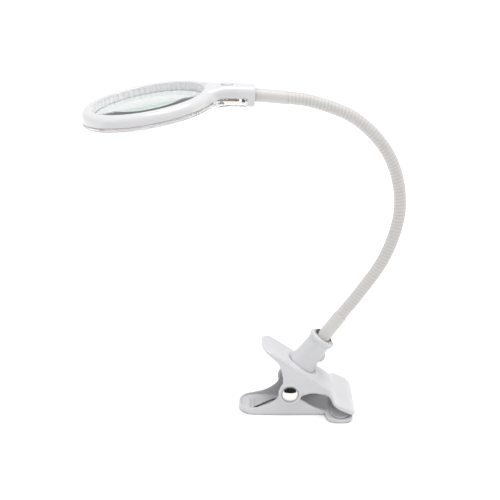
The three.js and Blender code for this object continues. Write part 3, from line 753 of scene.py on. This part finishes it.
def dc_inlet():
    """The socket's barrel and the pin inside it."""
    axis = Matrix.Rotation(INLET_TURN, 4, "Z") @ Matrix.Rotation(math.pi / 2, 4, "Y")
    place = LEVER @ shifted(POST_ALONG, 0, INLET_HEIGHT) @ axis
    socket = [(0, 5), (4, 5), (4, 13.2), (3.7, 13.5), (3, 13.5), (2.75, 13.2), (2.75, 6.5), (0, 6.5)]
    piece = show("inlet_socket", lathe(socket, 48), place, "black_plastic", ["dc_inlet"])
    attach(piece, "upper_clamp")
    pin = [(0, 6.4), (0.65, 6.4), (0.65, 12.2), (0.4, 12.6), (0, 12.6)]
    piece = show("inlet_pin", lathe(pin, 24), place, "steel")
    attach(piece, "upper_clamp")


def retaining_clip():
    """A wire bow across the post's mouth."""
    apart = 6.6
    height = POST_TOP + 0.9
    path = [(POST_ALONG + x, y, height) for x, y in
            [(-apart, -0.6), (-apart, 1), (-apart, 3.5), (-4.6, 7), (0, 8.6), (4.6, 7),
             (apart, 3.5), (apart, 1), (apart, -0.6)]]
    piece = show("clip_wire", wire(path, 0.8, steps=8), LEVER, "dark_steel", ["retaining_clip"])
    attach(piece, "upper_clamp")


# ---------------------------------------------------------------- arm

ARM_RADIUS = 4.9
ARM_SIDES = 40
RIB_PITCH = 2.78
RIB_DEPTH = 0.16
SLEEVE_LENGTH = 24.0
LINK_COUNT = 7


def smooth_line(points, samples=200):
    """A centripetal Catmull-Rom line through the points, the same as the arm's in the CAD."""
    points = np.array(points, float)
    ends = [2 * points[0] - points[1], *points, 2 * points[-1] - points[-2]]
    line = []
    for p0, p1, p2, p3 in zip(ends, ends[1:], ends[2:], ends[3:]):
        d0, d1, d2 = (math.sqrt(np.hypot(*(b - a))) for a, b in ((p0, p1), (p1, p2), (p2, p3)))
        start = ((p1 - p0) / d0 - (p2 - p0) / (d0 + d1) + (p2 - p1) / d1) * d1
        end = ((p2 - p1) / d1 - (p3 - p1) / (d1 + d2) + (p3 - p2) / d2) * d1
        t = np.linspace(0, 1, samples, endpoint=False)[:, None]
        line.append((2 * t**3 - 3 * t**2 + 1) * p1 + (t**3 - 2 * t**2 + t) * start
                    + (3 * t**2 - 2 * t**3) * p2 + (t**3 - t**2) * end)
    return np.vstack([*line, points[-1:]])


class Route:
    """The arm's middle line, from inside the post to inside the neck, by length along it."""

    def __init__(self):
        bends = [(54.1, 102), (75.8, 137.8), (85.2, 178.5), (75.8, 218.5), (49.5, 248.6),
                 (13.9, 263.4), (-5.7, 266.2)]
        heights = (41.5, POST_TOP, POST_TOP + SLEEVE_LENGTH)
        inside, mouth, sleeve_end = (lever_point(POST_ALONG, h) for h in heights)
        self.line = smooth_line([
            inside, mouth, sleeve_end, *[(PIVOT_X + x, z) for x, z in bends],
            NECK_END + (1.5, -0.1), NECK_END + (-8, 0.4),
        ])
        steps = np.hypot(*np.diff(self.line, axis=0).T)
        self.at = np.concatenate([[0], np.cumsum(steps)])
        self.length = self.at[-1]
        self.first = np.hypot(*(sleeve_end - inside))
        self.last = self.length - 8.4 - SLEEVE_LENGTH
        self.pitch = (self.last - self.first) / LINK_COUNT

    def point(self, s):
        return np.stack([np.interp(s, self.at, self.line[:, i]) for i in (0, 1)], axis=-1)

    def normal(self, s):
        ahead = self.point(np.asarray(s) + 0.3) - self.point(np.asarray(s) - 0.3)
        ahead /= np.hypot(ahead[..., 0], ahead[..., 1])[..., None]
        return np.stack([-ahead[..., 1], ahead[..., 0]], axis=-1)


ROUTE = Route()


def tube(radii, lengths):
    """A tube along the route; radii(s, turns) gives the radii at a length and those angles."""
    turns = 2 * np.pi * np.arange(ARM_SIDES) / ARM_SIDES
    sections = []
    for s in lengths:
        r = radii(s, turns)
        sections.append(np.stack([r * np.cos(turns), r * np.sin(turns)], axis=1))
    return sweep(ROUTE.point(lengths), ROUTE.normal(lengths), sections)


def groove(s, turns):
    """0 on the crown of a winding, 1 down in the groove between two windings; it shapes the windings and
    masks the painted shade in the grooves.
    """
    phase = np.mod(s / RIB_PITCH + turns / (2 * np.pi), 1)
    return np.abs(2 * phase - 1) ** 4


def gooseneck():
    """One wound piece over each bend of the arm, cut in the middle of the links beside it."""
    turns = 2 * np.pi * np.arange(ARM_SIDES) / ARM_SIDES
    slice_length = 0.28
    for i in range(LINK_COUNT - 1):
        hinge = ROUTE.first + ROUTE.pitch * (i + 1)
        start = hinge - ROUTE.pitch / 2 if i else ROUTE.first - 1
        end = hinge + ROUTE.pitch / 2 if i < LINK_COUNT - 2 else ROUTE.last + 1
        lengths = np.linspace(start, end, int((end - start) / slice_length))
        shape = tube(lambda s, t: ARM_RADIUS - RIB_DEPTH * groove(s, t), lengths)
        nodes = [f"gooseneck_link_{i + 1}"]
        if i == LINK_COUNT - 2:
            nodes.append(f"gooseneck_link_{LINK_COUNT}")
        piece = show(f"gooseneck_{i + 1}", shape, ROW, "arm_coat", nodes, crease=70)
        # The groove mask goes on the mesh, for the painted shade in the grooves.
        groove_shade = piece.data.attributes.new("groove", "FLOAT", "POINT")
        grooves = np.concatenate([groove(s, turns) for s in lengths])
        groove_shade.data.foreach_set("value", grooves.astype(np.float32))
        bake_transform(piece)


def sleeves():
    """Crimped ferrules: plain tubes with a soft end and one rolled line near the open end."""
    def ferrule(radius, open_end, socket_end):
        def radii(s, turns):
            from_open = abs(s - open_end)
            short_of_full = max(0, 1 - from_open / 0.7)
            edge = radius - 0.6 + 0.6 * math.sqrt(max(0, 1 - short_of_full**2))
            line = 0.12 * math.exp(-((from_open - 2.2) / 0.35) ** 2)
            return np.full(len(turns), edge - line)
        low, high = sorted((open_end, socket_end))
        return tube(radii, np.linspace(low, high, 110))

    lower = ferrule(5.5, ROUTE.first, 0.5)
    piece = show("lower_ferrule", lower, ROW, "arm_coat", ["lower_sleeve"])
    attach(piece, "upper_clamp")
    upper = ferrule(5.2, ROUTE.last, ROUTE.length - 1)
    piece = show("upper_ferrule", upper, ROW, "arm_coat", ["upper_sleeve"])
    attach(piece, "head")


# ---------------------------------------------------------------- head

RING_OUTER = 52.3
RING_INNER = 42.9
RING_HALF_HEIGHT = 6.05
SHELL_WALL = 2.0
COVER_WALL = 1.5
SEAM = -2.2
NECK_SEAM = -1.2
SEAM_GAP = 0.3
COLLAR = 6.0
NECK_HALF_WIDTH = 9.0
NECK_HALF_HEIGHT = 7.9
BUTTON_X = -21.5
NECK_SCREW_X = -25.6
BEZEL_SEAT = 45.6


def to_neck(x, z):
    """Ring-frame X and Z (mm) to the neck's."""
    turn = math.radians(RING_TILT + NECK_SLOPE)
    tilt = math.radians(RING_TILT)
    dx, dz = NECK_END - RING_CENTRE
    x = x - (dx * math.cos(tilt) + dz * math.sin(tilt))
    z = z - (dz * math.cos(tilt) - dx * math.sin(tilt))
    return x * math.cos(turn) - z * math.sin(turn), x * math.sin(turn) + z * math.cos(turn)


def head_solid(x, y, z):
    """The ring and the neck as one full solid, in the ring's frame."""
    r = np.hypot(x, y)
    outer, inner = r - RING_OUTER, RING_INNER - r
    top, bottom = z - RING_HALF_HEIGHT, -z - RING_HALF_HEIGHT
    ring = np.maximum(
        np.maximum(meet(outer, top, 5.6), meet(inner, top, 2.4)),
        np.maximum(meet(outer, bottom, 2.4), meet(inner, bottom, 1.4)),
    )
    nx, nz = to_neck(x, z)
    lower = ease(nx, -22, -36)
    side = np.abs(y) - NECK_HALF_WIDTH - 5 * ease(nx, -17, -34)
    roof, underside = nz - NECK_HALF_HEIGHT + 1.9 * lower, -nz - NECK_HALF_HEIGHT
    bar = np.maximum(meet(side, roof, 5.0), meet(side, underside, 3.0))
    bar = meet(bar, nx, 2.0)
    bar = np.maximum(bar, 47.5 - r)
    return join(ring, bar, 5.0)


def seam_height(x, z):
    """Height above the joint between the white shell and the clear cover."""
    nz = to_neck(x, z)[1]
    along = ease(x, 48, 60)
    return (1 - along) * (z - SEAM) + along * (nz - NECK_SEAM)


def head_shell():
    """The white shell above the seam, with the seat for the bezel and holes for button and arm."""
    def field(x, y, z):
        solid = head_solid(x, y, z)
        r = np.hypot(x, y)
        nx, nz = to_neck(x, z)
        shell = np.maximum(solid, -(solid + SHELL_WALL))
        below = np.maximum(seam_height(x, z), nx + COLLAR)
        shell = meet(shell, -below, 0.3)
        shell = cut(shell, np.maximum(r - BEZEL_SEAT, z - 4.3), 0.3)
        shell = cut(shell, np.maximum(np.hypot(nx - BUTTON_X, y) - 4.5, -nz), 0.2)
        return cut(shell, np.maximum(np.hypot(nz, y) - 5.5, -nx - 4), 0.2)

    piece = show("head_moulding", grow(field, (-52.4, -52.4, -15), (83, 52.4, 9), 0.55), RING,
                 "gloss_white", ["head_shell"])
    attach(piece, "head")


def clear_cover():
    """The clear shell below the seam."""
    def field(x, y, z):
        solid = head_solid(x, y, z)
        r = np.hypot(x, y)
        nx, nz = to_neck(x, z)
        cover = np.maximum(solid, -(solid + COVER_WALL))
        cover = meet(cover, seam_height(x, z) + SEAM_GAP, 0.2)
        cover = meet(cover, nx + COLLAR + SEAM_GAP, 0.2)
        cover = cut(cover, np.maximum(r - BEZEL_SEAT, -z - 3.4), 0.2)
        return cut(cover, np.maximum(np.hypot(nx - NECK_SCREW_X, y) - 1.5, nz))

    piece = show("cover_moulding", grow(field, (-52.4, -52.4, -15), (78, 52.4, -1), 0.55), RING,
                 "clear_plastic", ["led_cover"])
    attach(piece, "head")


def lens():
    """Both faces curve by the same radius, and meet the bezel in a thin edge."""
    radius, curve, edge, middle = 45.0, 343.0, 1.8, -1.7
    r = np.linspace(0, radius, 26)
    rise = (curve - math.sqrt(curve**2 - radius**2)) - (curve - np.sqrt(curve**2 - r**2))
    half = edge / 2 + rise
    under = [(a, middle - h) for a, h in zip(r, half)]
    over = [(a, middle + h) for a, h in zip(r[::-1], half[::-1])]
    profile = under + over
    piece = show("lens_disc", lathe(profile, 128), RING, "lens_clear", ["lens"], crease=30)
    piece.visible_shadow = False
    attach(piece, "head")


def lens_bezel():
    """The notched ring that holds the lens; its top sinks a little into the shell's lip."""
    flutes = 60
    top = 4.6
    heights = np.linspace(-0.5, top, 12)
    segments = flutes * 10
    turns = 2 * np.pi * np.arange(segments) / segments
    notch = (0.5 - 0.5 * np.cos(flutes * turns)) ** 4
    points = []
    for i in range(segments):
        deep = [(RING_INNER + 0.1 + 0.6 * notch[i] * ease(h, top, 3.4) + 0.055 * (top - h), h)
                for h in heights]
        profile = deep + [(45.2, top), (45.2, -0.5)]
        points += [(r * math.cos(turns[i]), r * math.sin(turns[i]), h) for r, h in profile]
    count = len(heights) + 2
    faces = []
    for s in range(segments):
        here, there = s * count, ((s + 1) % segments) * count
        for i in range(count):
            j = (i + 1) % count
            faces.append((here + i, here + j, there + j, there + i))
    # The bezel wears the paler copy of the shell's white, which paints light onto its shaded inner wall.
    piece = show("bezel_ring", (points, faces), RING, "gloss_white", ["lens_bezel"], crease=50,
                 finish=BEZEL_PAINTED_LIGHT)
    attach(piece, "head")


def led_board():
    """The board's ring: a thin tongue of it shows in the seam, and two pairs of lugs below it."""
    low, high = -2.0, -0.8
    ring = lathe([
        (46.0, low), (49.8, low), (49.8, SEAM - 0.28), (RING_OUTER - 0.25, SEAM - 0.28),
        (RING_OUTER - 0.25, SEAM - 0.02), (50.0, SEAM - 0.02), (50.0, high), (46.0, high),
    ], 128)
    lugs = []
    for middle in (-130, -41):
        for turn in (middle - 1.6, middle + 1.6):
            lugs.append(turned(bevelled(((49.6, -0.65, -4.8), (50.6, 0.65, -2.1)), 0.1, 2), turn))
    piece = show("board_ring", combined(ring, *lugs), RING, "board", ["led_board"], crease=30)
    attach(piece, "head")


def leds():
    """Small white packages with a raised rim, a yellow window and two soldered ends."""
    count, circle = 18, 48.0
    for i in range(count):
        turn = 2 * math.pi * (i + 0.5) / count
        at = shifted(circle * math.cos(turn), circle * math.sin(turn), -2.9)
        place = RING @ at @ Matrix.Rotation(turn, 4, "Z")
        package = bevelled(((-1.35, -1.7, -0.45), (1.35, 1.7, 0.6)), 0.15, 2)
        window = bevelled(((-1.0, -1.3, -0.6), (1.0, 1.3, -0.3)), 0.12, 2)
        ends = [bevelled(((-1.1, a, 0.0), (1.1, a + 0.35, 0.55)), 0.08, 2) for a in (-1.85, 1.5)]
        piece = show(f"led_{i + 1:02d}_package", combined(package, window, *ends), place, "led",
                     [f"led_{i + 1:02d}"])
        piece.data.materials.append(LED_BODY)
        piece.data.materials.append(MATERIALS["steel"])
        body_faces = len(package[1])
        window_faces = len(window[1])
        for face in piece.data.polygons:
            if face.index < body_faces:
                face.material_index = 1
            elif face.index >= body_faces + window_faces:
                face.material_index = 2
        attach(piece, "head")


def neck_parts():
    """The switch's board and block, its button, and the cover's screw."""
    board = bevelled(((-31, -7, -3.6), (-12, 7, -2.4)), 0.15, 2)
    piece = show("neck_board", board, NECK, "board", ["switch_board"])
    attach(piece, "head")
    body = combined(
        bevelled(((BUTTON_X - 2.2, -3, -2.3), (BUTTON_X + 2.2, 3, 2.9)), 0.3, 2),
        bevelled(((-10.2, -6, -4.6), (-7.4, 6, -1.6)), 0.3, 2),
    )
    piece = show("switch_block", body, NECK, "black_plastic", ["switch_body"])
    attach(piece, "head")
    top = NECK_HALF_HEIGHT
    cap = 4.38
    dome = [(cap * math.cos(t), top + 0.45 + 0.95 * math.sin(t)) for t in np.linspace(0, np.pi / 2, 12)]
    button = [(0, 4.7), (1.6, 4.7), (1.6, 5.4), (cap, 5.4), *dome[:-1], (0, top + 1.4)]
    place = NECK @ shifted(BUTTON_X, 0, 0)
    piece = show("button_cap", lathe(button, 64), place, "gloss_white", ["switch_button"])
    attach(piece, "button")
    screw_top = -NECK_HALF_HEIGHT - 0.3
    screw = [(0, screw_top - 1.2), (1.2, screw_top - 1.3), (2, screw_top - 1.1), (2.5, screw_top - 0.5),
             (2.5, screw_top), (1.2, screw_top), (1.2, 3), (0, 3)]
    place = NECK @ shifted(NECK_SCREW_X, 0, 0)
    piece = show("cover_screw", lathe(screw, 32), place, "steel", ["neck_screw"])
    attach(piece, "head")


# ---------------------------------------------------------------- carried-over solids


def carried_over():
    """The solids that stay as they are get this script's materials."""
    slots = {row["node"]: row["material_slot"] for row in frame["record"]["subparts"]}
    for name, node in frame["nodes"].items():
        if not node.hide_render:
            node.data.materials.clear()
            node.data.materials.append(MATERIALS[slots[name]])


# ---------------------------------------------------------------- studio

TARGET = Vector((PIVOT_X - 33, 0, 141.8)) * MM
CAMERA_DISTANCE = 0.9
CAMERA_ELEVATION = math.radians(21.5)


def camera():
    """A long lens, looking along +Y and down onto the lamp."""
    data = bpy.data.cameras.new("camera")
    data.lens = 81
    data.sensor_width = 36
    data.clip_start = 0.01
    data.clip_end = 100
    obj = bpy.data.objects.new("camera", data)
    back = Vector((0, -math.cos(CAMERA_ELEVATION), math.sin(CAMERA_ELEVATION)))
    obj.location = TARGET + back * CAMERA_DISTANCE
    obj.rotation_euler = (math.pi / 2 - CAMERA_ELEVATION, 0, 0)
    bpy.context.scene.collection.objects.link(obj)
    bpy.context.scene.camera = obj


def sun(name, towards, spread, strength):
    """Even light over floor and lamp alike, from a patch of sky that many degrees wide."""
    data = bpy.data.lights.new(name, "SUN")
    data.angle = math.radians(spread)
    data.energy = strength
    obj = bpy.data.objects.new(name, data)
    obj.rotation_euler = Vector(towards).to_track_quat("Z", "Y").to_euler()
    bpy.context.scene.collection.objects.link(obj)


def studio():
    """A pale floor, two soft suns and an even white sky."""
    finish = Finish("floor", (0.92, 0.92, 0.92), 0.9)
    cloud = finish.between(finish.noise(3, 2), 0, 1)
    finish.color(finish.mix(cloud, (0.91, 0.91, 0.91), (0.93, 0.93, 0.93)))
    half = 14
    corners = [(-half, -half, 0), (half, -half, 0), (half, half, 0), (-half, half, 0)]
    mesh = bpy.data.meshes.new("floor")
    mesh.from_pydata(corners, [], [(0, 1, 2, 3)])
    mesh.materials.append(finish.material)
    floor = bpy.data.objects.new("floor", mesh)
    floor.location.z = -0.0002
    bpy.context.scene.collection.objects.link(floor)

    sun("overhead", (0.2, -0.05, 1), 45, 2.2)
    sun("left", (-1, -0.35, 0.8), 40, 0.35)

    world = bpy.data.worlds.new("studio")
    bpy.context.scene.world = world
    world.use_nodes = True
    background = world.node_tree.nodes["Background"]
    background.inputs["Color"].default_value = (1, 1, 1, 1)
    background.inputs["Strength"].default_value = 0.89
    bpy.context.scene.view_settings.view_transform = "Standard"


def dark_card():
    """The unlit side of the studio, in front of the lamp, seen only in reflections."""
    finish = Finish("card", (0.01, 0.01, 0.012), 0.9)
    section = [(0.20, 0.001), (1.3, 0.002), (1.5, 2.4)]
    turns = np.radians(np.linspace(-168, -12, 31))
    points = [(r * math.cos(t), r * math.sin(t), h) for t in turns for r, h in section]
    faces = [(3 * i + j, 3 * i + j + 1, 3 * i + j + 4, 3 * i + j + 3)
             for i in range(len(turns) - 1) for j in (0, 1)]
    mesh = bpy.data.meshes.new("card")
    mesh.from_pydata(points, [], faces)
    mesh.materials.append(finish.material)
    card = bpy.data.objects.new("card", mesh)
    bpy.context.scene.collection.objects.link(card)
    card.visible_camera = False
    card.visible_diffuse = False
    card.visible_shadow = False
    card.visible_transmission = False


camera()
studio()
dark_card()

lower_lever()
upper_lever()
pivot_caps()
torsion_spring()
grip_pads()
rivets()
arm_post()
dc_inlet()
retaining_clip()
gooseneck()
sleeves()
head_shell()
clear_cover()
lens()
lens_bezel()
led_board()
leds()
neck_parts()
carried_over()
